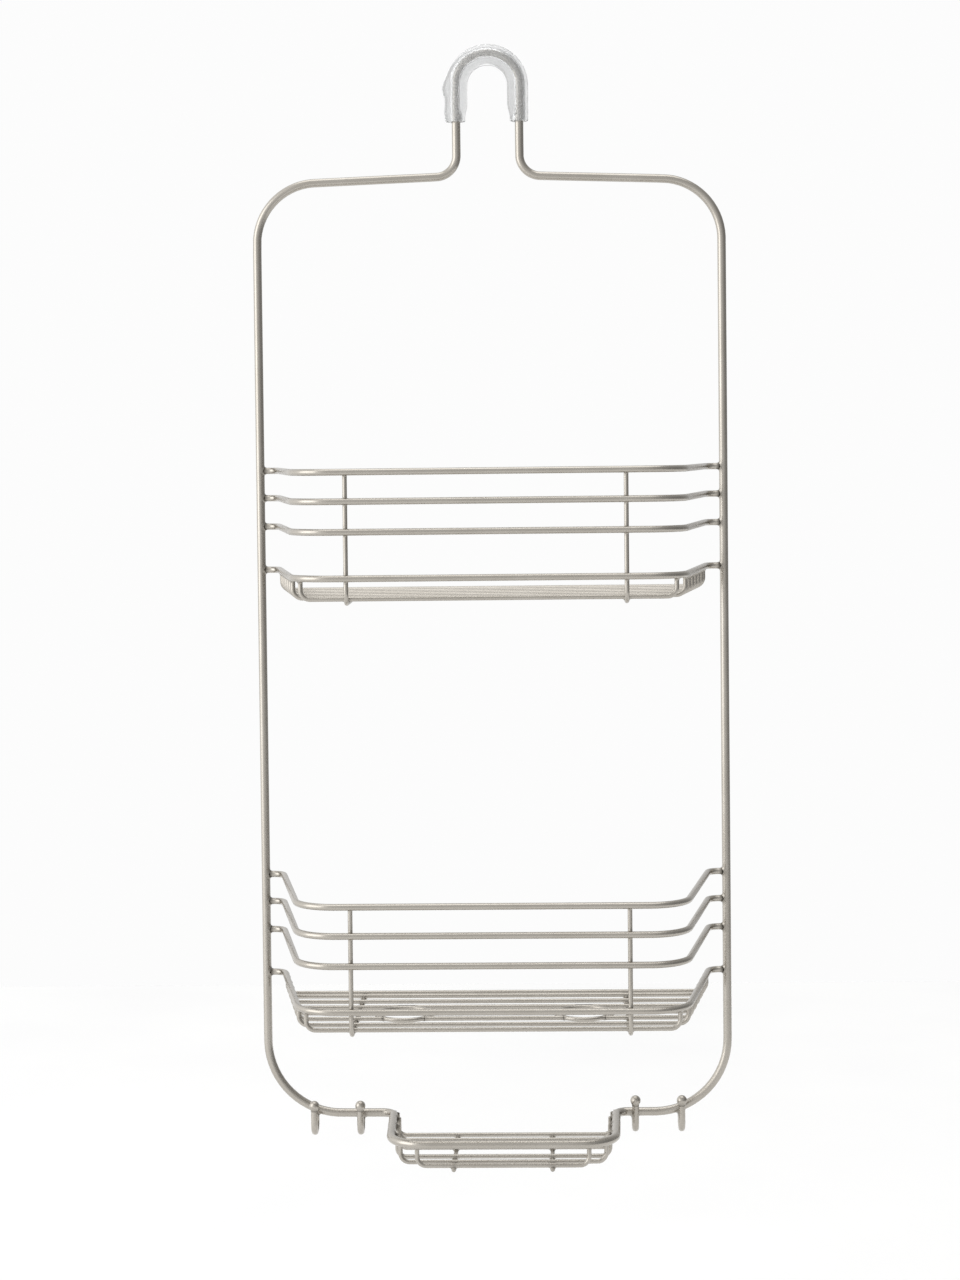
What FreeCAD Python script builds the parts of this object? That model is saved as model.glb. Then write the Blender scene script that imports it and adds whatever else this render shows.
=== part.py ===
import FreeCAD, Part
import math
import os

from FreeCAD import Vector

# A two-basket wire shower caddy that hangs by its hook from a shower arm.
# Millimetres. X runs across the caddy, Y points to the wall behind it and Z up.
# The origin is the centre of the hook's arch, on the axis of the arm it hangs from.

# Wire and weld sizes.
FRAME_WIRE = 4.8
RAIL_WIRE = 3.6
ROD_WIRE = 2.5
HOOK_WIRE = 3.8
BALL_DIAMETER = 5.8
WELD_BITE = 0.3

# Main frame: hook arch, shoulders, sides and bottom, seen from the front.
ARCH_RADIUS = 17.75
SHOULDER_BEND = 12.0
SHOULDER_INNER_Z = -50.8
SHOULDER_OUTER_Z = -54.8
SIDE_X = 131.0
TOP_CORNER = 34.0
BOTTOM_CORNER = 42.0
BOTTOM_Z = -583.0

# Soap dish: the frame wire turns forward and makes the dish's rim.
DISH_CENTRE_X = 3.9
DISH_HALF_WIDTH = 63.5
DISH_DEPTH = 70.3
DISH_TAPER = math.radians(1.6)
DISH_BACK_BEND = 7.0
DISH_CORNER = 20.0
DISH_FLOOR_Z = -595.6
DISH_ROD_Y = (-2.0, -13.0, -29.0, -47.5, -58.5, -66.2)
DISH_ROD_BEND = 5.0
DISH_ROD_TIP_RISE = 0.6
DISH_CROSS_X = 27.0

# Clear vinyl grip over the arch, with a round saddle that sits on the arm.
GRIP_DIAMETER = 10.4
GRIP_END_Z = -19.8
SADDLE_RADIUS = 11.2
SADDLE_LENGTH = 9.0
SADDLE_END_Z = -13.0

# Baskets: heights are measured down from the basket's top rail.
BASKET_TOP_Z = {"upper": -215.7, "lower": -445.5}
RAIL_DROP = (0.0, 15.5, 31.6, 56.1)
FLOOR_DROP = 67.4
BASKET_BACK_HALF = 120.9
BASKET_DEPTH = 110.0
BASKET_TAPER = math.radians(9.7)
BASKET_BACK_BEND = 7.0
BASKET_CORNER = 23.0

# Floor rods run across the basket and turn up under the inner side of the lowest rail.
FLOOR_ROD_COUNT = 8
FLOOR_ROD_BACK_Y = -5.8
FLOOR_ROD_SECOND_Y = -14.9
FLOOR_ROD_PITCH = 14.7
FLOOR_ROD_FRONT_Y = -101.0
FLOOR_ROD_BEND = 5.0
FLOOR_ROD_INSET = 1.1
FLOOR_ROD_TIP_DROP = 1.2

# Upright wires stand behind the front rails and run back under the floor.
UPRIGHT_X = 74.0
UPRIGHT_CENTRE_X = -0.9
UPRIGHT_BEND = 6.0
UPRIGHT_END_Y = -6.0

# Rings in the lower floor take the caps of bottles stood upside down.
RING_X = 49.0
RING_Y = -62.0
RING_RADIUS = 15.5
RING_CUT_RODS = (5, 6)

# Small J-hooks with ball tips under the frame's bottom corners. The left pair hangs a little lower.
HOOK_X = {"outer": 104.2, "inner": 78.0}
HOOK_CURL = 5.5
HOOK_LOW_Z = {"left": -592.2, "right": -591.0}
HOOK_BALL_Z = {"left": -576.7, "right": -574.3}

SIDES = {"left": -1, "right": 1}

# Two points nearer than this are the same point of a path.
SAME_POINT = 1e-6


def rounded_wire(corners, radii):
    """A path of straight runs with a tangent arc at each inner corner."""
    edges = []
    run_start = corners[0]
    for before, corner, after, radius in zip(corners, corners[1:], corners[2:], radii):
        towards = (corner - before).normalize()
        away = (after - corner).normalize()
        half_turn = towards.getAngle(away) / 2
        reach = radius * math.tan(half_turn)
        arc_start = corner - towards * reach
        arc_end = corner + away * reach
        inward = (away - towards).normalize()
        arc_middle = corner + inward * (radius / math.cos(half_turn) - radius)
        if run_start.distanceToPoint(arc_start) > SAME_POINT:
            edges.append(Part.LineSegment(run_start, arc_start).toShape())
        edges.append(Part.Arc(arc_start, arc_middle, arc_end).toShape())
        run_start = arc_end
    if run_start.distanceToPoint(corners[-1]) > SAME_POINT:
        edges.append(Part.LineSegment(run_start, corners[-1]).toShape())
    return Part.Wire(edges)


def bent_rod(corners, radii, diameter):
    """A round wire bent along a rounded path, as one closed solid."""
    path = rounded_wire(corners, radii)
    section = Part.Circle(corners[0], corners[1] - corners[0], diameter / 2).toShape()
    return path.makePipeShell([Part.Wire([section])], True, False)


def straight_rod(start, end, diameter):
    along = end - start
    return Part.makeCylinder(diameter / 2, along.Length, start, along)


def dish_front_half():
    """Half the dish's width where its side meets its front, before rounding."""
    return DISH_HALF_WIDTH - DISH_DEPTH * math.tan(DISH_TAPER)


def frame_half(side):
    """The frame wire from the top of the arch to the middle of the dish's front rim."""
    dish_back_x = DISH_CENTRE_X + side * DISH_HALF_WIDTH
    dish_front_x = DISH_CENTRE_X + side * dish_front_half()
    corners = [
        Vector(0, 0, ARCH_RADIUS),
        Vector(side * ARCH_RADIUS, 0, ARCH_RADIUS),
        Vector(side * ARCH_RADIUS, 0, SHOULDER_INNER_Z),
        Vector(side * SIDE_X, 0, SHOULDER_OUTER_Z),
        Vector(side * SIDE_X, 0, BOTTOM_Z),
        Vector(dish_back_x, 0, BOTTOM_Z),
        Vector(dish_front_x, -DISH_DEPTH, BOTTOM_Z),
        Vector(DISH_CENTRE_X, -DISH_DEPTH, BOTTOM_Z),
    ]
    radii = [ARCH_RADIUS, SHOULDER_BEND, TOP_CORNER, BOTTOM_CORNER, DISH_BACK_BEND, DISH_CORNER]
    return bent_rod(corners, radii, FRAME_WIRE)


def frame_wire():
    """One closed loop of heavy wire, welded end to end at the dish's front."""
    return frame_half(SIDES["left"]).fuse(frame_half(SIDES["right"])).removeSplitter()


def arch_rod(diameter, end_z):
    """A round bar over the arch and down both legs to a height."""
    legs = [
        straight_rod(Vector(side * ARCH_RADIUS, 0, end_z), Vector(side * ARCH_RADIUS, 0, 0), diameter)
        for side in SIDES.values()
    ]
    bend = Part.makeTorus(ARCH_RADIUS, diameter / 2, Vector(0, 0, 0), Vector(0, -1, 0))
    room = ARCH_RADIUS + diameter
    upper_half = Part.makeBox(2 * room, 2 * room, room, Vector(-room, -room, 0))
    return bend.common(upper_half).fuse(legs).removeSplitter()


def saddle_block():
    """The solid between the arch and the arm, before the wire's channel is taken out."""
    half_length = SADDLE_LENGTH / 2
    front = Vector(0, -half_length, 0)
    towards_wall = Vector(0, 1, 0)
    skirt_size = (2 * ARCH_RADIUS, SADDLE_LENGTH, -SADDLE_END_Z)
    skirt = Part.makeBox(*skirt_size, Vector(-ARCH_RADIUS, -half_length, SADDLE_END_Z))
    disc = Part.makeCylinder(ARCH_RADIUS, SADDLE_LENGTH, front, towards_wall)
    arm_bore = Part.makeCylinder(SADDLE_RADIUS, SADDLE_LENGTH, front, towards_wall)
    mouth_size = (2 * SADDLE_RADIUS, SADDLE_LENGTH, ARCH_RADIUS)
    mouth = Part.makeBox(*mouth_size, Vector(-SADDLE_RADIUS, -half_length, -ARCH_RADIUS))
    block = disc.fuse(skirt).cut(arm_bore.fuse(mouth)).removeSplitter()
    below = Part.makeBox(4 * ARCH_RADIUS, 4 * ARCH_RADIUS, ARCH_RADIUS,
                         Vector(-2 * ARCH_RADIUS, -2 * ARCH_RADIUS, SADDLE_END_Z - ARCH_RADIUS))
    return block.cut(below)


def hook_grip():
    """Clear sleeve round the arch wire, with the saddle that meets the arm."""
    sleeve = arch_rod(GRIP_DIAMETER, GRIP_END_Z)
    channel = arch_rod(FRAME_WIRE, GRIP_END_Z - FRAME_WIRE)
    return sleeve.fuse(saddle_block()).cut(channel).removeSplitter()


def basket_front_half():
    """Half the basket's width where its side meets its front, before rounding."""
    return BASKET_BACK_HALF - BASKET_DEPTH * math.tan(BASKET_TAPER)


def basket_rail(z):
    """A rail from one side of the frame, round the front, to the other side."""
    end_x = SIDE_X - FRAME_WIRE / 2 + WELD_BITE
    front_x = basket_front_half()
    corners = [
        Vector(-end_x, 0, z),
        Vector(-BASKET_BACK_HALF, 0, z),
        Vector(-front_x, -BASKET_DEPTH, z),
        Vector(front_x, -BASKET_DEPTH, z),
        Vector(BASKET_BACK_HALF, 0, z),
        Vector(end_x, 0, z),
    ]
    radii = [BASKET_BACK_BEND, BASKET_CORNER, BASKET_CORNER, BASKET_BACK_BEND]
    return bent_rod(corners, radii, RAIL_WIRE)


def rod_end_x(y):
    """Where a floor rod's upturned end stands under the rail."""
    corner_turn = math.pi / 2 - BASKET_TAPER
    centre_x = basket_front_half() - BASKET_CORNER * math.tan(corner_turn / 2)
    centre_y = BASKET_CORNER - BASKET_DEPTH
    inner_corner = BASKET_CORNER - FLOOR_ROD_INSET
    if y < centre_y - inner_corner * math.sin(BASKET_TAPER):
        return centre_x + math.sqrt(inner_corner ** 2 - (y - centre_y) ** 2)
    return BASKET_BACK_HALF + y * math.tan(BASKET_TAPER) - FLOOR_ROD_INSET / math.cos(BASKET_TAPER)


def floor_rod_y(number):
    """Distance of a floor rod from the frame, counting from the back."""
    if number == 1:
        return FLOOR_ROD_BACK_Y
    if number == FLOOR_ROD_COUNT:
        return FLOOR_ROD_FRONT_Y
    return FLOOR_ROD_SECOND_Y - FLOOR_ROD_PITCH * (number - 2)


def floor_rod(y, floor_z, tip_z):
    end_x = rod_end_x(y)
    corners = [
        Vector(-end_x, y, tip_z),
        Vector(-end_x, y, floor_z),
        Vector(end_x, y, floor_z),
        Vector(end_x, y, tip_z),
    ]
    return bent_rod(corners, [FLOOR_ROD_BEND, FLOOR_ROD_BEND], ROD_WIRE)


def cut_floor_rod(y, floor_z, tip_z):
    """The three lengths of a floor rod that the bottle rings interrupt."""
    ring_outside = RING_RADIUS + ROD_WIRE / 2
    reach = math.sqrt(ring_outside ** 2 - (y - RING_Y) ** 2) - WELD_BITE
    end_x = rod_end_x(y)
    pieces = {}
    for name, side in SIDES.items():
        corners = [
            Vector(side * (RING_X + reach), y, floor_z),
            Vector(side * end_x, y, floor_z),
            Vector(side * end_x, y, tip_z),
        ]
        pieces[name] = bent_rod(corners, [FLOOR_ROD_BEND], ROD_WIRE)
    inner_x = RING_X - reach
    pieces["middle"] = straight_rod(Vector(-inner_x, y, floor_z), Vector(inner_x, y, floor_z), ROD_WIRE)
    return pieces


def basket_upright(x, top_z, floor_z):
    """A wire behind the front rails that turns back and carries the floor rods."""
    front_y = -BASKET_DEPTH + (RAIL_WIRE + ROD_WIRE) / 2 - WELD_BITE
    under_z = floor_z - ROD_WIRE + WELD_BITE
    corners = [
        Vector(x, front_y, top_z),
        Vector(x, front_y, under_z),
        Vector(x, UPRIGHT_END_Y, under_z),
    ]
    return bent_rod(corners, [UPRIGHT_BEND], ROD_WIRE)


def basket(name):
    """All the pieces of one basket, by node name."""
    top_z = BASKET_TOP_Z[name]
    floor_z = top_z - FLOOR_DROP
    lowest_rail_z = top_z - RAIL_DROP[-1]
    tip_z = lowest_rail_z - FLOOR_ROD_TIP_DROP
    pieces = {}
    for number, drop in enumerate(RAIL_DROP, start=1):
        pieces[f"{name}_basket_rail_{number}"] = basket_rail(top_z - drop)
    for number in range(1, FLOOR_ROD_COUNT + 1):
        node = f"{name}_floor_rod_{number}"
        y = floor_rod_y(number)
        if name == "lower" and number in RING_CUT_RODS:
            for part, shape in cut_floor_rod(y, floor_z, tip_z).items():
                pieces[f"{node}_{part}"] = shape
        else:
            pieces[node] = floor_rod(y, floor_z, tip_z)
    for side_name, side in SIDES.items():
        x = UPRIGHT_CENTRE_X + side * UPRIGHT_X
        pieces[f"{name}_upright_{side_name}"] = basket_upright(x, top_z, floor_z)
    return pieces


def bottle_rings():
    """Two closed rings level with the lower floor's rods."""
    floor_z = BASKET_TOP_Z["lower"] - FLOOR_DROP
    pieces = {}
    for name, side in SIDES.items():
        centre = Vector(side * RING_X, RING_Y, floor_z)
        pieces[f"bottle_ring_{name}"] = Part.makeTorus(RING_RADIUS, ROD_WIRE / 2, centre)
    return pieces


def dish_rod_end_x(y):
    """Where a dish rod's upturned end stands inside the rim, from the dish's middle."""
    inset = (FRAME_WIRE + ROD_WIRE) / 2 - WELD_BITE
    corner_turn = math.pi / 2 - DISH_TAPER
    centre_y = DISH_CORNER - DISH_DEPTH
    if y < centre_y:
        centre_x = dish_front_half() - DISH_CORNER * math.tan(corner_turn / 2)
        return centre_x + math.sqrt((DISH_CORNER - inset) ** 2 - (y - centre_y) ** 2)
    if y > -DISH_BACK_BEND:
        centre_x = DISH_HALF_WIDTH + DISH_BACK_BEND * math.tan(corner_turn / 2)
        return centre_x - math.sqrt((DISH_BACK_BEND + inset) ** 2 - (y + DISH_BACK_BEND) ** 2)
    return DISH_HALF_WIDTH + y * math.tan(DISH_TAPER) - inset / math.cos(DISH_TAPER)


def dish_rod(y):
    end_x = dish_rod_end_x(y)
    tip_z = BOTTOM_Z + DISH_ROD_TIP_RISE
    corners = [
        Vector(DISH_CENTRE_X - end_x, y, tip_z),
        Vector(DISH_CENTRE_X - end_x, y, DISH_FLOOR_Z),
        Vector(DISH_CENTRE_X + end_x, y, DISH_FLOOR_Z),
        Vector(DISH_CENTRE_X + end_x, y, tip_z),
    ]
    return bent_rod(corners, [DISH_ROD_BEND, DISH_ROD_BEND], ROD_WIRE)


def dish_floor():
    """Dish rods and the two wires welded across underneath them."""
    pieces = {f"dish_rod_{number}": dish_rod(y) for number, y in enumerate(DISH_ROD_Y, start=1)}
    under_z = DISH_FLOOR_Z - ROD_WIRE + WELD_BITE
    for name, side in SIDES.items():
        x = DISH_CENTRE_X + side * DISH_CROSS_X
        front = Vector(x, DISH_ROD_Y[-1] - ROD_WIRE / 2, under_z)
        back = Vector(x, DISH_ROD_Y[0] + ROD_WIRE / 2, under_z)
        pieces[f"dish_cross_wire_{name}"] = straight_rod(front, back, ROD_WIRE)
    return pieces


def frame_bottom_z(x):
    """Height of the frame wire's centre line along its bottom, corners included."""
    into_corner = abs(x) - (SIDE_X - BOTTOM_CORNER)
    if into_corner <= 0:
        return BOTTOM_Z
    return BOTTOM_Z + BOTTOM_CORNER - math.sqrt(BOTTOM_CORNER ** 2 - into_corner ** 2)


def side_hook(x, low_z, ball_z):
    """A J-hook that leaves the frame's underside, curls forward and rises to its ball."""
    start_z = frame_bottom_z(x) - FRAME_WIRE / 2 + WELD_BITE
    front_y = -2 * HOOK_CURL
    corners = [
        Vector(x, 0, start_z),
        Vector(x, 0, low_z),
        Vector(x, front_y, low_z),
        Vector(x, front_y, ball_z),
    ]
    return bent_rod(corners, [HOOK_CURL, HOOK_CURL], HOOK_WIRE)


def hook_ball(x, ball_z, hook):
    """A ball with a blind hole that fits over the end of the hook's wire."""
    centre = Vector(x, -2 * HOOK_CURL, ball_z)
    return Part.makeSphere(BALL_DIAMETER / 2, centre).cut(hook)


def side_hooks():
    pieces = {}
    for side_name, side in SIDES.items():
        ball_z = HOOK_BALL_Z[side_name]
        for place, distance in HOOK_X.items():
            x = side * distance
            hook = side_hook(x, HOOK_LOW_Z[side_name], ball_z)
            pieces[f"side_hook_{place}_{side_name}"] = hook
            pieces[f"hook_ball_{place}_{side_name}"] = hook_ball(x, ball_z, hook)
    return pieces


def all_pieces():
    pieces = {"frame_wire": frame_wire(), "hook_grip": hook_grip()}
    pieces.update(basket("upper"))
    pieces.update(basket("lower"))
    pieces.update(bottle_rings())
    pieces.update(dish_floor())
    pieces.update(side_hooks())
    return pieces


os.makedirs("parts", exist_ok=True)
for node, shape in all_pieces().items():
    shape.exportStep(f"parts/{node}.step")
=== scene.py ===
import math
from collections import namedtuple

import bpy
import numpy as np
from mathutils import Matrix, Vector


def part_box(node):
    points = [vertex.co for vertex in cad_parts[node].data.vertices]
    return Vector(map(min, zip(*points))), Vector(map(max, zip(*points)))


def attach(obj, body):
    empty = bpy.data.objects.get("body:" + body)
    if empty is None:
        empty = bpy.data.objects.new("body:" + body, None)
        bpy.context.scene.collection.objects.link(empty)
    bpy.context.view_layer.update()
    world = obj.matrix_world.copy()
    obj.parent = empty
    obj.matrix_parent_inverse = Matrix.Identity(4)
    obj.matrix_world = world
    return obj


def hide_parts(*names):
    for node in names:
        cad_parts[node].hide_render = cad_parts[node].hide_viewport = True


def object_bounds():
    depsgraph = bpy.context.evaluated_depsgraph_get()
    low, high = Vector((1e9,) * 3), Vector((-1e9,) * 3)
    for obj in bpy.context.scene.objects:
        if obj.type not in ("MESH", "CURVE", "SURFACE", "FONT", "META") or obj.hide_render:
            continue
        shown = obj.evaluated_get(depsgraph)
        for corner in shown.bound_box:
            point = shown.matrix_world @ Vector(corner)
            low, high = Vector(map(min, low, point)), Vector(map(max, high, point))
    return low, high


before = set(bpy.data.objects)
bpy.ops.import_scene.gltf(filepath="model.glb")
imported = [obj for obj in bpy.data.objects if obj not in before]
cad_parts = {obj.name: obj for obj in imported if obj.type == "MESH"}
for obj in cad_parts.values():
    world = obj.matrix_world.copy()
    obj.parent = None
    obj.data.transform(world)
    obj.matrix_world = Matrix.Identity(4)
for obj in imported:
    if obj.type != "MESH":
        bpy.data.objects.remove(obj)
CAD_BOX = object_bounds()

# A wire shower caddy in satin nickel, with a clear vinyl grip on its hook.
# Metres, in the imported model's frame: X across, Y to the wall, Z up.

MM = 0.001

# Wires.
FRAME_RADIUS = 2.4 * MM
RAIL_RADIUS = 1.8 * MM
ROD_RADIUS = 1.25 * MM
HOOK_RADIUS = 1.9 * MM
WELD_BITE = 0.3 * MM

# Bends in the frame wire, and where its shoulders start and end.
SHOULDER_INNER_Z = -50.8 * MM
SHOULDER_OUTER_Z = -54.8 * MM
SHOULDER_BEND = 12 * MM
TOP_CORNER = 34 * MM
BOTTOM_CORNER = 42 * MM
DISH_BACK_BEND = 7 * MM
DISH_CORNER = 20 * MM
DISH_TAPER = math.radians(1.6)

# Bends in the baskets, the soap dish and the hooks.
BASKET_BACK_HALF = 120.9 * MM
BASKET_TAPER = math.radians(9.7)
BASKET_BACK_BEND = 7 * MM
BASKET_CORNER = 23 * MM
ROD_BEND = 5 * MM
UPRIGHT_BEND = 6 * MM
HOOK_CURL = 5.5 * MM

# How finely a wire is drawn.
FINE_STEP = 0.4 * MM
LONGEST_STEP = 8 * MM
LARGEST_TURN = math.radians(5)
DOME = 0.55
DOME_RINGS = 5
SIDES_PER_MM = 10

# The coating and weld metal fill the crease where two wires meet. A wire is darkened where it
# meets the frame wire, and only lightly at its other welds: partly soot, partly painted shade.
WELD_FILLET = 1.5 * MM
WELD_SOOT_AND_SHADE_REACH = 2.2 * MM
FAINT_SOOT_AND_SHADE = 0.25
FILLET_HALVINGS = 12
# Points of a line that may be missing inside one stretch, and that are added at each of its ends.
STRETCH_GAP = 3
STRETCH_SPARE = 4

# Keeps a division by a length from failing where the length is nothing.
TINY = 1e-9

# Vinyl grip.
GRIP_RADIUS = 5.2 * MM
GRIP_CHANNEL = 2.46 * MM
GRIP_END_Z = -19.8 * MM
SADDLE_RADIUS = 11.2 * MM
SADDLE_FULL_Z = -10.5 * MM
SADDLE_GONE_Z = -18.3 * MM
SADDLE_SQUARENESS = 2.6
GRIP_LIP = 0.7 * MM
GRIP_LIP_RINGS = 5
# Rings across each flat foot, as shares of the way from its outside to the channel.
GRIP_FOOT_RINGS = (0.3, 0.7)
GRIP_STEP = 0.5 * MM
GRIP_SIDES = 80
# Seams across the sleeve: degrees right of the top, and depth.
GRIP_SEAMS = ((7, 0.22 * MM), (42, 0.35 * MM))
SEAM_WIDTH = 1.6
# The left leg's outer wall stands off the wire: height, spread and size of each swelling.
GRIP_FLARE = ((-2.0 * MM, 5.0 * MM, 2.4 * MM), (-15.0 * MM, 7.0 * MM, 1.3 * MM))

# Ball tips.
BALL_SKIN = 0.06 * MM
BALL_NECK = 1.4 * MM
BALL_NECK_TURN = math.radians(9)
BALL_RINGS = 20
BALL_NECK_RINGS = 6
BALL_SIDES = 32
# The ball's colour is darker towards its neck, where it meets the hook's wire.
BALL_NECK_DARKENING = 0.5
BALL_NECK_DARKENING_FALL = 3

# Camera.
CAMERA_PLACE = Vector((33.54, -1493.49, -201.1)) * MM
CAMERA_PITCH = math.radians(2.132)
CAMERA_YAW = math.radians(1.548)
CAMERA_ROLL = math.radians(0.631)
CAMERA_LENS = 74.23
CAMERA_SHIFT = -0.0773
CAMERA_SENSOR = 36

# Materials. Texture scales are in repeats to the metre.
NICKEL_DIM = (0.425, 0.397, 0.353, 1)
NICKEL_LIGHT = (0.460, 0.432, 0.388, 1)
NICKEL_FLAKE = (0.66, 0.64, 0.58, 1)
# The colour beside a weld: partly soot, partly painted shade in the crease between wires.
WELD_SOOT_AND_SHADE = (0.070, 0.062, 0.050, 1)
CLOUD_SCALE = 45
PEEL_SCALE = 300
SOOT_AND_SHADE_SCALE = 500
GRAIN_SCALE = 900
FLAKE_SCALE = 3200
PEEL_HEIGHT = 0.05 * MM
GRAIN_HEIGHT = 0.02 * MM
VINYL_DIM = (0.87, 0.875, 0.875, 1)
VINYL_LIGHT = (0.93, 0.935, 0.938, 1)
RIPPLE_SCALE = 160
HAZE_SCALE = 340
RIPPLE_HEIGHT = 0.35 * MM
FLOOR_DIM = (0.90, 0.90, 0.90, 1)
FLOOR_LIGHT = (0.93, 0.93, 0.925, 1)
FLOOR_CLOUD_SCALE = 3
FLOOR_SCUFF_SCALE = 14
NICKEL_ROUGH = (0.24, 0.31)
VINYL_ROUGH = (0.10, 0.22)
FLOOR_ROUGH = (0.75, 0.90)
# Noise mostly lies between these.
NOISE_RANGE = (0.3, 0.7)
# The numbers of a Map Range node, in the order that they are given.
RANGE_ENDS = ("From Min", "From Max", "To Min", "To Max")

# Studio: a pale floor below the hanging caddy, a wide soft box to its front left and a soft sun
# overhead. The sky is brighter on the left.
BACKGROUND = 0.975
SKY_MIDDLE = 0.80
SKY_SWING = 0.50
FLOOR_HALF = 1.7
FLOOR_GAP = 0.25
FLOOR_CELLS = 8
OVERHEAD_POWER = 0.75
OVERHEAD_SPREAD = math.radians(50)
KEY_OFFSET = (-1.75, -0.90, 0.50)
KEY_SIZE = (1.6, 1.9)
KEY_POWER = 13.0

Wire = namedtuple("Wire", "node line radius closed")
Station = namedtuple("Station", "place inward along turn side")


# ---- centre lines -----------------------------------------------------------------------------


def run_points(start, end):
    steps = max(1, math.ceil((end - start).length / FINE_STEP))
    return [start.lerp(end, i / steps) for i in range(steps)]


def arc_points(start, corner, end, radius):
    """Points of the arc that is tangent to both runs at a corner, without its last point."""
    towards = (corner - start).normalized()
    away = (end - corner).normalized()
    turn = towards.angle(away)
    inward = (away - towards).normalized()
    centre = corner + inward * (radius / math.cos(turn / 2))
    spoke = start - centre
    axis = towards.cross(away).normalized()
    steps = max(math.ceil(radius * turn / FINE_STEP), math.ceil(turn / LARGEST_TURN))
    return [centre + Matrix.Rotation(turn * i / steps, 3, axis) @ spoke for i in range(steps)]


def rounded_line(corners, bends, closed=False):
    """A fine centre line: straight runs, joined by an arc at each inner corner."""
    corners = [Vector(c) for c in corners]
    if closed:
        befores, afters, middles = corners[-1:] + corners[:-1], corners[1:] + corners[:1], corners
    else:
        befores, afters, middles = corners[:-2], corners[2:], corners[1:-1]
    arcs = []
    for before, corner, after, radius in zip(befores, middles, afters, bends):
        towards = (corner - before).normalized()
        away = (after - corner).normalized()
        reach = radius * math.tan(towards.angle(away) / 2)
        arcs.append((corner - towards * reach, corner, corner + away * reach, radius))
    place = arcs[-1][2] if closed else corners[0]
    line = []
    for start, corner, end, radius in arcs:
        if (start - place).length > FINE_STEP / 10:
            line += run_points(place, start)
        line += arc_points(start, corner, end, radius)
        place = end
    if not closed:
        line += run_points(place, corners[-1]) + [corners[-1]]
    return np.array(line)


def frame_line():
    """The one long loop: arch, shoulders, sides, bottom and the rim of the soap dish."""
    low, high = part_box("frame_wire")
    arch = high.z - FRAME_RADIUS
    side = high.x - FRAME_RADIUS
    bottom = low.z + FRAME_RADIUS
    front = low.y + FRAME_RADIUS
    dish_low, dish_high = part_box("dish_rod_3")
    dish_x, rod_y, _ = (dish_low + dish_high) / 2
    rod_half = (dish_high.x - dish_low.x) / 2 - ROD_RADIUS
    inset = FRAME_RADIUS + ROD_RADIUS - WELD_BITE
    back_half = rod_half + inset / math.cos(DISH_TAPER) - rod_y * math.tan(DISH_TAPER)
    front_half = back_half + front * math.tan(DISH_TAPER)
    corners = [
        (-arch, 0, arch), (arch, 0, arch), (arch, 0, SHOULDER_INNER_Z), (side, 0, SHOULDER_OUTER_Z),
        (side, 0, bottom), (dish_x + back_half, 0, bottom), (dish_x + front_half, front, bottom),
        (dish_x - front_half, front, bottom), (dish_x - back_half, 0, bottom),
        (-side, 0, bottom), (-side, 0, SHOULDER_OUTER_Z), (-arch, 0, SHOULDER_INNER_Z),
    ]
    right_bends = [arch, SHOULDER_BEND, TOP_CORNER, BOTTOM_CORNER, DISH_BACK_BEND, DISH_CORNER]
    return rounded_line(corners, [arch] + right_bends + right_bends[:0:-1], closed=True)


def rail_line(node):
    low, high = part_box(node)
    z = (low.z + high.z) / 2
    front = low.y + RAIL_RADIUS
    front_half = BASKET_BACK_HALF + front * math.tan(BASKET_TAPER)
    corners = [
        (low.x, 0, z), (-BASKET_BACK_HALF, 0, z), (-front_half, front, z),
        (front_half, front, z), (BASKET_BACK_HALF, 0, z), (high.x, 0, z),
    ]
    return rounded_line(corners, [BASKET_BACK_BEND, BASKET_CORNER, BASKET_CORNER, BASKET_BACK_BEND])


def trough_line(node):
    """A rod that runs across and turns up at both ends."""
    low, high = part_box(node)
    y = (low.y + high.y) / 2
    left, right, floor = low.x + ROD_RADIUS, high.x - ROD_RADIUS, low.z + ROD_RADIUS
    corners = [(left, y, high.z), (left, y, floor), (right, y, floor), (right, y, high.z)]
    return rounded_line(corners, [ROD_BEND, ROD_BEND])


def half_trough_line(node, side):
    """A rod cut short by a bottle ring, with only its outer end turned up."""
    low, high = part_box(node)
    y = (low.y + high.y) / 2
    inner, outer = (low.x, high.x - ROD_RADIUS) if side > 0 else (high.x, low.x + ROD_RADIUS)
    floor = low.z + ROD_RADIUS
    return rounded_line([(inner, y, floor), (outer, y, floor), (outer, y, high.z)], [ROD_BEND])


def straight_line(node):
    """A straight rod along the longest side of its box."""
    low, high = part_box(node)
    along = max(range(3), key=lambda axis: high[axis] - low[axis])
    start = (low + high) / 2
    end = start.copy()
    start[along], end[along] = low[along], high[along]
    return rounded_line([start, end], [])


def upright_line(node):
    low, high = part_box(node)
    x = (low.x + high.x) / 2
    front, under = low.y + ROD_RADIUS, low.z + ROD_RADIUS
    return rounded_line([(x, front, high.z), (x, front, under), (x, high.y, under)], [UPRIGHT_BEND])


def ring_line(node):
    low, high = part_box(node)
    centre = (low + high) / 2
    radius = (high.x - low.x) / 2 - ROD_RADIUS
    turns = np.linspace(0, 2 * math.pi, round(2 * math.pi * radius / FINE_STEP), endpoint=False)
    x, y = centre.x + radius * np.cos(turns), centre.y + radius * np.sin(turns)
    return np.stack([x, y, np.full(len(turns), centre.z)], axis=1)


def hook_line(node, frame_points):
    """A J-hook: down from the frame wire's underside, forward round its curl and up to its ball."""
    low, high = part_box(node)
    x = (low.x + high.x) / 2
    under_frame = frame_points[frame_points[:, 2] < low.z / 2]
    start_z = under_frame[np.abs(under_frame[:, 0] - x).argmin()][2] - FRAME_RADIUS + WELD_BITE
    bottom, front = low.z + HOOK_RADIUS, low.y + HOOK_RADIUS
    corners = [(x, 0, start_z), (x, 0, bottom), (x, front, bottom), (x, front, high.z)]
    return rounded_line(corners, [HOOK_CURL, HOOK_CURL])


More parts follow.
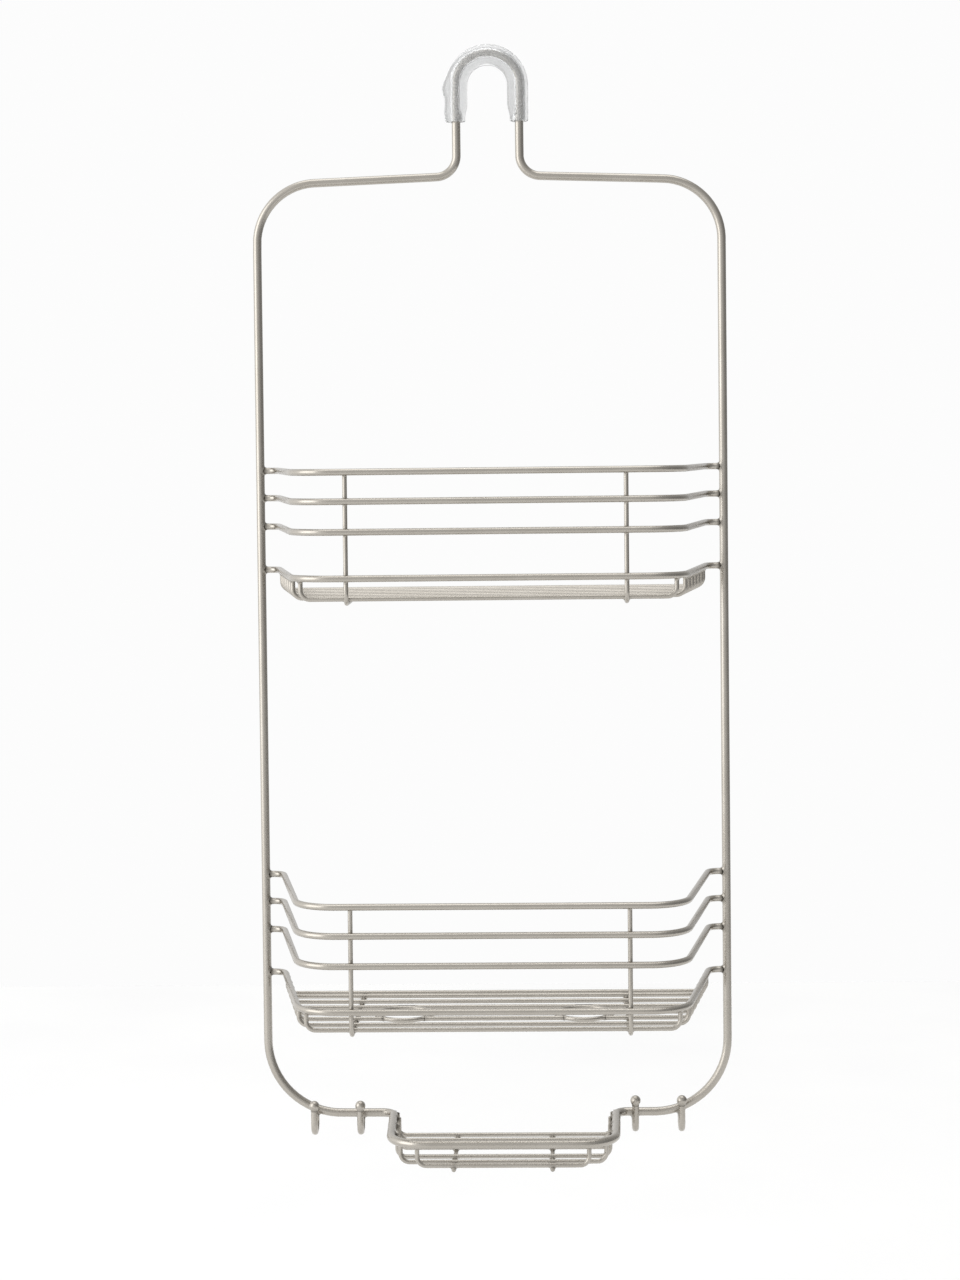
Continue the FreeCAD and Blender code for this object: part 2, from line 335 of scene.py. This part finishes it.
def all_wires():
    frame_points = frame_line()
    wires = [Wire("frame_wire", frame_points, FRAME_RADIUS, True)]
    for node in sorted(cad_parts):
        if "basket_rail" in node:
            wires.append(Wire(node, rail_line(node), RAIL_RADIUS, False))
        elif "floor_rod" in node and node.endswith(("_left", "_right")):
            side = 1 if node.endswith("_right") else -1
            wires.append(Wire(node, half_trough_line(node, side), ROD_RADIUS, False))
        elif node.endswith("_middle") or "cross_wire" in node:
            wires.append(Wire(node, straight_line(node), ROD_RADIUS, False))
        elif "floor_rod" in node or "dish_rod" in node:
            wires.append(Wire(node, trough_line(node), ROD_RADIUS, False))
        elif "upright" in node:
            wires.append(Wire(node, upright_line(node), ROD_RADIUS, False))
        elif "bottle_ring" in node:
            wires.append(Wire(node, ring_line(node), ROD_RADIUS, True))
        elif "side_hook" in node:
            wires.append(Wire(node, hook_line(node, frame_points), HOOK_RADIUS, False))
    return wires


# ---- welds ------------------------------------------------------------------------------------


def nearest_on_line(points, line):
    """For each point, the nearest place on a line of points."""
    squares = ((points[:, None, :] - line[None, :, :]) ** 2).sum(axis=2)
    nearest = squares.argmin(axis=1)
    best, best_square = line[nearest], squares.min(axis=1)
    for step in (-1, 1):
        run = line[np.clip(nearest + step, 0, len(line) - 1)] - line[nearest]
        length = np.maximum((run ** 2).sum(axis=1), TINY ** 2)
        share = np.clip(((points - line[nearest]) * run).sum(axis=1) / length, 0, 1)
        place = line[nearest] + run * share[:, None]
        square = ((points - place) ** 2).sum(axis=1)
        better = square < best_square
        best[better] = place[better]
        best_square = np.minimum(square, best_square)
    return best


def stretches_near(wire, other, reach):
    """The parts of the other wire's line that come within reach of this wire's surface."""
    room = wire.radius + other.radius + reach
    low, high = wire.line.min(axis=0) - room, wire.line.max(axis=0) + room
    inside = np.flatnonzero(((other.line > low) & (other.line < high)).all(axis=1))
    if not len(inside):
        return []
    apart = other.line[inside][:, None, :] - wire.line[None, ::2, :]
    near = inside[(apart ** 2).sum(axis=2).min(axis=1) < room ** 2]
    if not len(near):
        return []
    groups = np.split(near, np.flatnonzero(np.diff(near) > STRETCH_GAP) + 1)
    return [other.line[max(0, group[0] - STRETCH_SPARE):group[-1] + 1 + STRETCH_SPARE]
            for group in groups]


def fill_crease(points, normals, stretch, radius, lift, blended):
    """Lifts the points beside another wire on to a smooth fillet, with normals to match."""
    low, high = stretch.min(axis=0), stretch.max(axis=0)
    room = radius + WELD_FILLET
    rows = np.flatnonzero(((points > low - room) & (points < high + room)).all(axis=1))
    if not len(rows):
        return
    base, out = points[rows], normals[rows]

    def field(rise):
        places = base + out * rise[:, None]
        away = places - nearest_on_line(places, stretch)
        distance = np.linalg.norm(away, axis=1)
        gap = distance - radius
        share = np.maximum(WELD_FILLET - np.abs(rise - gap), 0) / WELD_FILLET
        value = np.minimum(rise, gap) - share ** 2 * WELD_FILLET / 4
        weight = np.where(rise < gap, share / 2, 1 - share / 2)
        straight_away = away / np.maximum(distance, TINY)[:, None]
        return value, gap, out * (1 - weight)[:, None] + straight_away * weight[:, None]

    low_rise, high_rise = np.zeros(len(rows)), np.full(len(rows), WELD_FILLET / 2)
    value, gap, _ = field(low_rise)
    fills = (value < 0) & (gap > 0) & (field(high_rise)[0] > 0)
    for _ in range(FILLET_HALVINGS):
        middle = (low_rise + high_rise) / 2
        inside = field(middle)[0] < 0
        low_rise = np.where(inside, middle, low_rise)
        high_rise = np.where(inside, high_rise, middle)
    turned = field(high_rise)[2]
    better = fills & (high_rise > lift[rows])
    lift[rows[better]] = high_rise[better]
    blended[rows[better]] = turned[better]


def weld_closeness(points, stretch, radius):
    """1 on a point that touches the other wire, falling to 0 where its soot and painted shade end.
    """
    closeness = np.zeros(len(points))
    room = radius + WELD_SOOT_AND_SHADE_REACH
    low, high = stretch.min(axis=0) - room, stretch.max(axis=0) + room
    rows = np.flatnonzero(((points > low) & (points < high)).all(axis=1))
    if len(rows):
        near = points[rows]
        away = np.linalg.norm(near - nearest_on_line(near, stretch), axis=1) - radius
        closeness[rows] = np.clip(1 - away / WELD_SOOT_AND_SHADE_REACH, 0, 1)
    return closeness


# ---- tubes ------------------------------------------------------------------------------------


def directions(line, closed):
    if closed:
        ahead, behind = np.roll(line, -1, axis=0), np.roll(line, 1, axis=0)
    else:
        ahead, behind = np.vstack([line[1:], line[-1:]]), np.vstack([line[:1], line[:-1]])
    along = ahead - behind
    return along / np.linalg.norm(along, axis=1, keepdims=True)


def rings_needed(line, along, busy):
    """Indices of the line's points that get a ring: every one at a weld, few on straight runs."""
    kept = [0]
    travelled = 0.0
    for i in range(1, len(line)):
        travelled += np.linalg.norm(line[i] - line[i - 1])
        turned = along[i] @ along[kept[-1]] < math.cos(LARGEST_TURN)
        if busy[i] or busy[i - 1] or turned or travelled > LONGEST_STEP or i == len(line) - 1:
            kept.append(i)
            travelled = 0.0
    return np.array(kept)


def side_vectors(along, closed):
    """A pair of directions across the wire at each ring, carried along with no twist."""
    # Any direction that isn't along the wire will do to start from.
    side = np.array([0.0, 0.0, 1.0]) if abs(along[0][2]) < 0.8 else np.array([0.0, 1.0, 0.0])
    sides = []
    for direction in along:
        side = side - direction * (side @ direction)
        side = side / np.linalg.norm(side)
        sides.append(side)
    sides = np.array(sides)
    if closed:
        last = sides[-1] - along[0] * (sides[-1] @ along[0])
        last = last / np.linalg.norm(last)
        twist = math.atan2(np.cross(last, sides[0]) @ along[0], last @ sides[0])
        for i, direction in enumerate(along):
            turn = Matrix.Rotation(twist * i / len(along), 3, Vector(direction))
            sides[i] = np.array(turn @ Vector(sides[i]))
    return sides, np.cross(along, sides)


def tube_rings(wire, busy):
    """Ring centres, directions, radii and how far each ring's normals lean along the wire."""
    line, along = wire.line, directions(wire.line, wire.closed)
    kept = rings_needed(line, along, busy)
    if wire.closed:
        kept = kept[:-1]
        return line[kept], along[kept], np.full(len(kept), wire.radius), np.zeros(len(kept))
    dome = DOME * wire.radius
    travelled = np.concatenate([[0], np.cumsum(np.linalg.norm(np.diff(line, axis=0), axis=1))])
    body = kept[(travelled[kept] > dome) & (travelled[kept] < travelled[-1] - dome)]
    angles = np.radians(np.linspace(90, 0, DOME_RINGS + 1))
    centres = np.vstack([
        line[0] + np.outer(dome * (1 - np.sin(angles)), along[0]),
        line[body],
        line[-1] - np.outer(dome * (1 - np.sin(angles[::-1])), along[-1]),
    ])
    first, final = np.repeat(along[:1], len(angles), 0), np.repeat(along[-1:], len(angles), 0)
    steered = np.vstack([first, along[body], final])
    shares = np.concatenate([np.cos(angles), np.ones(len(body)), np.cos(angles[::-1])])
    radii = shares * wire.radius
    leans = np.concatenate([-angles, np.zeros(len(body)), angles[::-1]])
    return centres, steered, radii, leans


def grid_faces(rings, sides, closed):
    """Quads between neighbouring rings of a tube."""
    faces = []
    for i in range(rings if closed else rings - 1):
        here, there = i * sides, (i + 1) % rings * sides
        for j in range(sides):
            k = (j + 1) % sides
            faces.append((here + j, here + k, there + k, there + j))
    return faces


def new_mesh(name, points, faces, normals=None, attributes=None):
    mesh = bpy.data.meshes.new(name)
    mesh.from_pydata([tuple(p) for p in points], [], faces)
    mesh.polygons.foreach_set("use_smooth", [True] * len(mesh.polygons))
    for attribute, values in (attributes or {}).items():
        layer = mesh.attributes.new(attribute, "FLOAT", "POINT")
        layer.data.foreach_set("value", np.asarray(values, np.float32))
    mesh.update()
    if normals is not None:
        mesh.normals_split_custom_set_from_vertices([tuple(n) for n in normals])
    piece = bpy.data.objects.new(name, mesh)
    bpy.context.scene.collection.objects.link(piece)
    return piece


def wire_piece(wire, wires):
    """A wire with domed ends, and its coating flowing into each weld."""
    stretches = []
    for other in wires:
        if other.node != wire.node:
            stretches += [(s, other.radius) for s in stretches_near(wire, other, WELD_SOOT_AND_SHADE_REACH)]
    busy = np.zeros(len(wire.line), bool)
    for stretch, radius in stretches:
        apart = np.linalg.norm(wire.line - nearest_on_line(wire.line, stretch), axis=1)
        busy |= apart - radius - wire.radius < WELD_FILLET
    centres, along, radii, leans = tube_rings(wire, busy)
    side, other_side = side_vectors(along, wire.closed)
    count = 4 * round(wire.radius / MM * SIDES_PER_MM / 4) + 8
    turns = np.arange(count) * 2 * math.pi / count
    cosines, sines = np.cos(turns)[None, :, None], np.sin(turns)[None, :, None]
    spokes = side[:, None, :] * cosines + other_side[:, None, :] * sines
    points = (centres[:, None, :] + spokes * radii[:, None, None]).reshape(-1, 3)
    upright, leaning = np.cos(leans)[:, None, None], np.sin(leans)[:, None, None]
    normals = (spokes * upright + along[:, None, :] * leaning).reshape(-1, 3)
    lift, blended = np.zeros(len(points)), normals.copy()
    weld_soot_and_shade = np.zeros(len(points))
    for stretch, radius in stretches:
        fill_crease(points, normals, stretch, radius, lift, blended)
        # Each weld darkens the wire, partly as soot and partly as painted shade: fully at the frame
        # wire.
        soot_and_shade_strength = 1.0 if radius == FRAME_RADIUS else FAINT_SOOT_AND_SHADE
        weld_soot_and_shade = np.maximum(weld_soot_and_shade, weld_closeness(points, stretch, radius) * soot_and_shade_strength)
    points = points + normals * lift[:, None]
    faces = grid_faces(len(centres), count, wire.closed)
    if not wire.closed:
        points, blended, weld_soot_and_shade, faces = close_ends(points, blended, weld_soot_and_shade, faces, count, along)
    blended = blended / np.linalg.norm(blended, axis=1, keepdims=True)
    return new_mesh(wire.node + "_coated", points, faces, blended, {"weld_soot_and_shade": weld_soot_and_shade})


def close_ends(points, normals, weld_soot_and_shade, faces, count, along):
    """Draws each end's collapsed ring together into one point."""
    last = len(points) - count
    inner = slice(count, last)
    tips = np.vstack([points[:count].mean(axis=0), points[last:].mean(axis=0)])
    start_tip, end_tip = last - count, last - count + 1
    kept = []
    for face in faces:
        if max(face) < 2 * count and min(face) < count:
            far = [i - count for i in face if i >= count]
            kept.append((start_tip, far[0], far[1]))
        elif max(face) >= last:
            near = [i - count for i in face if i < last]
            kept.append((near[0], near[1], end_tip))
        else:
            kept.append(tuple(i - count for i in face))
    points = np.vstack([points[inner], tips])
    normals = np.vstack([normals[inner], -along[0], along[-1]])
    weld_soot_and_shade = np.concatenate([weld_soot_and_shade[inner], [weld_soot_and_shade[:count].mean(), weld_soot_and_shade[last:].mean()]])
    return points, normals, weld_soot_and_shade, kept


# ---- ball tips --------------------------------------------------------------------------------


def ball_piece(node):
    """A ball that is drawn down into a short neck where it fits over the hook's wire."""
    low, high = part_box(node)
    centre = (low + high) / 2
    radius = (high.x - low.x) / 2
    sleeve = HOOK_RADIUS + BALL_SKIN
    shoulder = math.asin(sleeve / radius) + BALL_NECK_TURN
    turns = np.linspace(0, math.pi - shoulder, BALL_RINGS)
    profile = [(radius * math.sin(t), radius * math.cos(t)) for t in turns]
    start_r, start_z = profile[-1]
    for share in np.linspace(0, 1, BALL_NECK_RINGS)[1:]:
        drawn_in = 1 - (1 - share) ** 2
        profile.append((start_r + (sleeve - start_r) * drawn_in, start_z - BALL_NECK * share))
    angles = np.arange(BALL_SIDES) * 2 * math.pi / BALL_SIDES
    points = [tuple(centre + Vector((0, 0, radius)))]
    for r, z in profile[1:]:
        points += [tuple(centre + Vector((r * math.cos(a), -r * math.sin(a), z))) for a in angles]
    points.append((centre.x, centre.y, centre.z + profile[-1][1]))
    faces = []
    last = len(points) - 1
    for j in range(BALL_SIDES):
        k = (j + 1) % BALL_SIDES
        faces.append((0, 1 + k, 1 + j))
        for ring in range(len(profile) - 2):
            here, there = 1 + ring * BALL_SIDES, 1 + (ring + 1) * BALL_SIDES
            faces.append((here + j, here + k, there + k, there + j))
        faces.append((last, last - BALL_SIDES + j, last - BALL_SIDES + k))
    heights = np.array([p[2] for p in points])
    # Darker towards the bottom of the ball, into its neck.
    neck_darkening = np.clip((centre.z - heights) / radius, 0, 1) ** BALL_NECK_DARKENING_FALL
    return new_mesh(node + "_coated", points, faces, attributes={"weld_soot_and_shade": neck_darkening * BALL_NECK_DARKENING})


# ---- vinyl grip -------------------------------------------------------------------------------


def bump_at(place, centre, width):
    return math.exp(-((place - centre) / width) ** 2)


def ease(share):
    share = min(max(share, 0), 1)
    return share * share * (3 - 2 * share)


def grip_stations():
    """Places down the sleeve, from the foot of its left leg to the foot of its right one."""
    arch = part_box("frame_wire")[1].z - FRAME_RADIUS
    leg = -GRIP_END_Z
    total = 2 * leg + math.pi * arch
    count = round(total / GRIP_STEP)
    stations = []
    for i in range(count + 1):
        travelled = total * i / count
        if travelled < leg:
            place = Vector((-arch, 0, GRIP_END_Z + travelled))
            station = Station(place, Vector((1, 0, 0)), Vector((0, 0, 1)), math.pi, -1)
        elif travelled > total - leg:
            place = Vector((arch, 0, GRIP_END_Z + total - travelled))
            station = Station(place, Vector((-1, 0, 0)), Vector((0, 0, -1)), 0.0, 1)
        else:
            turn = math.pi - (travelled - leg) / arch
            out = Vector((math.cos(turn), 0, math.sin(turn)))
            along = Vector((math.sin(turn), 0, -math.cos(turn)))
            station = Station(out * arch, -out, along, turn, 1 if out.x > 0 else -1)
        stations.append(station)
    return stations


def grip_section(station):
    """Distances from the wire to the vinyl's outside, all round, from the inward side."""
    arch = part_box("frame_wire")[1].z - FRAME_RADIUS
    full = ease((station.place.z - SADDLE_GONE_Z) / (SADDLE_FULL_Z - SADDLE_GONE_Z))
    depth = GRIP_RADIUS + (arch - SADDLE_RADIUS - GRIP_RADIUS) * full
    squareness = 2 + SADDLE_SQUARENESS * full
    thickness = GRIP_RADIUS
    for seam, seam_depth in GRIP_SEAMS:
        seam_turn = math.radians(90 - seam)
        thickness -= seam_depth * bump_at(station.turn, seam_turn, math.radians(SEAM_WIDTH))
    flare = 0.0
    if station.side < 0:
        for height, width, size in GRIP_FLARE:
            flare += size * bump_at(station.place.z, height, width)
    distances = []
    for angle in np.arange(GRIP_SIDES) * 2 * math.pi / GRIP_SIDES:
        inward, across = math.cos(angle), math.sin(angle)
        if inward > 0:
            shape = (inward / depth) ** squareness + (abs(across) / thickness) ** squareness
            distances.append(shape ** (-1 / squareness))
        else:
            distances.append(thickness + flare * inward ** 2)
    return np.array(distances)


def grip_piece():
    """One closed moulding: its outside, rounded feet and the channel that the wire lies in."""
    stations = grip_stations()
    angles = np.arange(GRIP_SIDES) * 2 * math.pi / GRIP_SIDES
    rows = []

    def add_row(station, distances, push=0.0):
        centre = station.place + station.along * push
        for angle, distance in zip(angles, distances):
            across = Vector((0, distance * math.sin(angle), 0))
            rows.append(centre + station.inward * distance * math.cos(angle) + across)

    # The rows run down the outside, round the right foot, back along the channel and round the
    # left foot, so that each row joins the next and the last one joins the first.
    channel = np.full(GRIP_SIDES, GRIP_CHANNEL)
    lip = np.radians(np.linspace(0, 90, GRIP_LIP_RINGS))
    for station in stations:
        add_row(station, grip_section(station))
    for end, sign in ((stations[-1], 1), (stations[0], -1)):
        shape = grip_section(end)
        for a in lip[1:]:
            add_row(end, shape - GRIP_LIP * (1 - math.cos(a)), sign * GRIP_LIP * math.sin(a))
        for share in GRIP_FOOT_RINGS:
            foot = (shape - GRIP_LIP) * (1 - share) + (channel + GRIP_LIP) * share
            add_row(end, foot, sign * GRIP_LIP)
        for a in lip[:0:-1]:
            add_row(end, channel + GRIP_LIP * (1 - math.cos(a)), sign * GRIP_LIP * math.sin(a))
        if sign > 0:
            for station in stations[::-1]:
                add_row(station, channel)
            left_start = len(rows)
    left_foot = [rows[i:i + GRIP_SIDES] for i in range(left_start, len(rows), GRIP_SIDES)]
    rows = rows[:left_start] + [point for row in left_foot[::-1] for point in row]
    faces = grid_faces(len(rows) // GRIP_SIDES, GRIP_SIDES, True)
    return new_mesh("hook_grip_vinyl", rows, faces)


# ---- materials --------------------------------------------------------------------------------


class Shader:
    """A material whose nodes are added and linked by short calls."""

    def __init__(self, name):
        self.material = bpy.data.materials.new(name)
        self.material.use_nodes = True
        self.tree = self.material.node_tree
        self.surface = self.tree.nodes["Principled BSDF"]

    def add(self, kind, settings=None, **inputs):
        made = self.tree.nodes.new("ShaderNode" + kind)
        for name, value in (settings or {}).items():
            setattr(made, name, value)
        for name, value in inputs.items():
            self.put(made.inputs[name.replace("_", " ")], value)
        return made

    def put(self, socket, value):
        if isinstance(value, bpy.types.NodeSocket):
            self.tree.links.new(value, socket)
        else:
            socket.default_value = value

    def place(self):
        return self.add("TexCoord").outputs["Object"]

    def noise(self, scale, detail=2.0, roughness=0.5):
        return self.add("TexNoise", Vector=self.place(), Scale=scale, Detail=detail,
                        Roughness=roughness).outputs["Fac"]

    def spread(self, value, low, high, start=0.0, end=1.0):
        """The value, taken from low..high to start..end."""
        mapped = self.add("MapRange", Value=value)
        for name, number in zip(RANGE_ENDS, (low, high, start, end)):
            self.put(mapped.inputs[name], number)
        return mapped.outputs["Result"]

    def mix(self, share, first, second):
        """Two colours mixed. The node's factor and its colours are its inputs 0, 6 and 7."""
        mixed = self.add("Mix", {"data_type": "RGBA"})
        for slot, value in ((0, share), (6, first), (7, second)):
            self.put(mixed.inputs[slot], value)
        return mixed.outputs[2]

    def times(self, first, second):
        product = self.add("Math", {"operation": "MULTIPLY"})
        self.put(product.inputs[0], first)
        self.put(product.inputs[1], second)
        return product.outputs[0]

    def plus(self, first, second):
        added = self.add("Math", {"operation": "ADD"})
        self.put(added.inputs[0], first)
        self.put(added.inputs[1], second)
        return added.outputs[0]

    def bump(self, height, strength, distance, below=None):
        made = self.add("Bump", Height=height, Strength=strength, Distance=distance)
        if below is not None:
            self.put(made.inputs["Normal"], below)
        return made.outputs["Normal"]

    def set(self, **inputs):
        for name, value in inputs.items():
            self.put(self.surface.inputs[name.replace("_", " ")], value)


def satin_nickel():
    """Soft plated and lacquered metal, slightly mottled; at welds rougher, darkened by soot and
    painted shade.
    """
    shader = Shader("satin_nickel")
    cloud = shader.spread(shader.noise(CLOUD_SCALE, 3), 0.35, 0.65)
    grain = shader.noise(GRAIN_SCALE, 2, 0.55)
    flakes = shader.add("TexVoronoi", Vector=shader.place(), Scale=FLAKE_SCALE).outputs["Color"]
    # Beside welds the colour is darkened: partly soot, partly painted shade in the crease.
    weld_soot_and_shade = shader.add("Attribute", {"attribute_name": "weld_soot_and_shade"}).outputs["Fac"]
    soot_and_shade_mottle = shader.spread(shader.noise(SOOT_AND_SHADE_SCALE, 3), *NOISE_RANGE, 0.75, 1.15)
    soot_and_shade = shader.times(weld_soot_and_shade, soot_and_shade_mottle)
    nickel = shader.mix(cloud, NICKEL_DIM, NICKEL_LIGHT)
    speckled = shader.mix(shader.spread(flakes, 0.0, 1.0, 0.0, 0.03), nickel, NICKEL_FLAKE)
    colour = shader.mix(shader.times(soot_and_shade, 1.2), speckled, WELD_SOOT_AND_SHADE)
    plated = shader.spread(grain, *NOISE_RANGE, *NICKEL_ROUGH)
    rough = shader.plus(plated, shader.times(soot_and_shade, 0.22))
    peel = shader.bump(shader.noise(PEEL_SCALE, 2), 0.08, PEEL_HEIGHT)
    surface = shader.bump(grain, 0.03, GRAIN_HEIGHT, peel)
    shader.set(Base_Color=colour, Roughness=rough, Normal=surface,
               Metallic=1.0, Coat_Weight=0.12, Coat_Roughness=0.18)
    return shader.material


def clear_vinyl():
    """Soft clear plastic with a slight haze, ripples from the mould and a faintly uneven gloss."""
    shader = Shader("clear_vinyl")
    ripple = shader.noise(RIPPLE_SCALE, 3, 0.55)
    haze = shader.spread(shader.noise(HAZE_SCALE, 4, 0.6), 0.35, 0.7, *VINYL_ROUGH)
    tint = shader.mix(shader.spread(ripple, *NOISE_RANGE), VINYL_DIM, VINYL_LIGHT)
    shader.set(Base_Color=tint, Roughness=haze, Normal=shader.bump(ripple, 0.35, RIPPLE_HEIGHT),
               Metallic=0.0, Transmission_Weight=0.80, IOR=1.53)
    return shader.material


def pale_floor():
    shader = Shader("pale_floor")
    cloud = shader.spread(shader.noise(FLOOR_CLOUD_SCALE, 4), *NOISE_RANGE)
    tint = shader.mix(cloud, FLOOR_DIM, FLOOR_LIGHT)
    rough = shader.spread(shader.noise(FLOOR_SCUFF_SCALE, 3), *NOISE_RANGE, *FLOOR_ROUGH)
    shader.set(Base_Color=tint, Roughness=rough, Specular_IOR_Level=0.0)
    return shader.material


# ---- studio -----------------------------------------------------------------------------------


def studio_world():
    """Plain pale to look at; what lights the object is brighter to its left than to its right."""
    world = bpy.data.worlds.new("studio")
    world.use_nodes = True
    tree = world.node_tree
    across = tree.nodes.new("ShaderNodeSeparateXYZ")
    tree.links.new(tree.nodes.new("ShaderNodeTexCoord").outputs["Generated"], across.inputs[0])
    sky = tree.nodes.new("ShaderNodeMapRange")
    numbers = (-1.0, 1.0, SKY_MIDDLE + SKY_SWING, SKY_MIDDLE - SKY_SWING)
    for name, number in zip(RANGE_ENDS, numbers):
        sky.inputs[name].default_value = number
    tree.links.new(across.outputs["X"], sky.inputs["Value"])
    # A number Mix node's factor and its two values are its inputs 0, 2 and 3.
    seen = tree.nodes.new("ShaderNodeMix")
    tree.links.new(tree.nodes.new("ShaderNodeLightPath").outputs["Is Camera Ray"], seen.inputs[0])
    tree.links.new(sky.outputs[0], seen.inputs[2])
    seen.inputs[3].default_value = BACKGROUND
    tree.links.new(seen.outputs[0], tree.nodes["Background"].inputs["Strength"])
    tree.nodes["Background"].inputs["Color"].default_value = (1, 1, 1, 1)
    bpy.context.scene.world = world


def key_light(centre):
    """A wide soft box that faces the caddy's middle."""
    light = bpy.data.lights.new("key", "AREA")
    light.shape = "RECTANGLE"
    light.size, light.size_y = KEY_SIZE
    light.energy = KEY_POWER
    lamp = bpy.data.objects.new("key", light)
    offset = Vector(KEY_OFFSET)
    lamp.location = centre + offset
    lamp.rotation_euler = (-offset).to_track_quat("-Z", "Y").to_euler()
    bpy.context.scene.collection.objects.link(lamp)


def overhead_light():
    light = bpy.data.lights.new("overhead", "SUN")
    light.energy = OVERHEAD_POWER
    light.angle = OVERHEAD_SPREAD
    bpy.context.scene.collection.objects.link(bpy.data.objects.new("overhead", light))


def studio_floor(centre):
    steps = np.linspace(-FLOOR_HALF, FLOOR_HALF, FLOOR_CELLS + 1)
    height = CAD_BOX[0].z - FLOOR_GAP
    points = [(centre.x + x, centre.y + y, height) for y in steps for x in steps]
    row = len(steps)
    corners = [i * row + j for i in range(FLOOR_CELLS) for j in range(FLOOR_CELLS)]
    faces = [(c, c + 1, c + row + 1, c + row) for c in corners]
    floor = new_mesh("studio_floor", points, faces)
    floor.data.materials.append(pale_floor())


def studio_camera():
    data = bpy.data.cameras.new("camera")
    data.sensor_width = CAMERA_SENSOR
    data.lens = CAMERA_LENS
    data.shift_y = CAMERA_SHIFT
    camera = bpy.data.objects.new("camera", data)
    turned = (Matrix.Rotation(CAMERA_YAW, 3, "Z") @ Matrix.Rotation(-CAMERA_PITCH, 3, "X")
              @ Matrix.Rotation(CAMERA_ROLL, 3, "Y"))
    right, forward, up = (turned @ Vector(axis) for axis in ((1, 0, 0), (0, 1, 0), (0, 0, 1)))
    facing = Matrix((right, up, -forward)).transposed().to_4x4()
    camera.matrix_world = Matrix.Translation(CAMERA_PLACE) @ facing
    bpy.context.scene.collection.objects.link(camera)
    bpy.context.scene.camera = camera


# ---- the object -------------------------------------------------------------------------------


def dress(piece, node, material):
    """Puts a piece in the place of its CAD node."""
    piece.data.materials.append(material)
    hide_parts(node)
    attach(piece, "root")


def build_object():
    nickel, vinyl = satin_nickel(), clear_vinyl()
    wires = all_wires()
    for wire in wires:
        dress(wire_piece(wire, wires), wire.node, nickel)
    for node in sorted(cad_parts):
        if node.startswith("hook_ball"):
            dress(ball_piece(node), node, nickel)
    dress(grip_piece(), "hook_grip", vinyl)


def build_studio():
    centre = (CAD_BOX[0] + CAD_BOX[1]) / 2
    studio_world()
    studio_floor(centre)
    key_light(centre)
    overhead_light()
    studio_camera()
    bpy.context.scene.view_settings.view_transform = "Standard"


build_object()
build_studio()
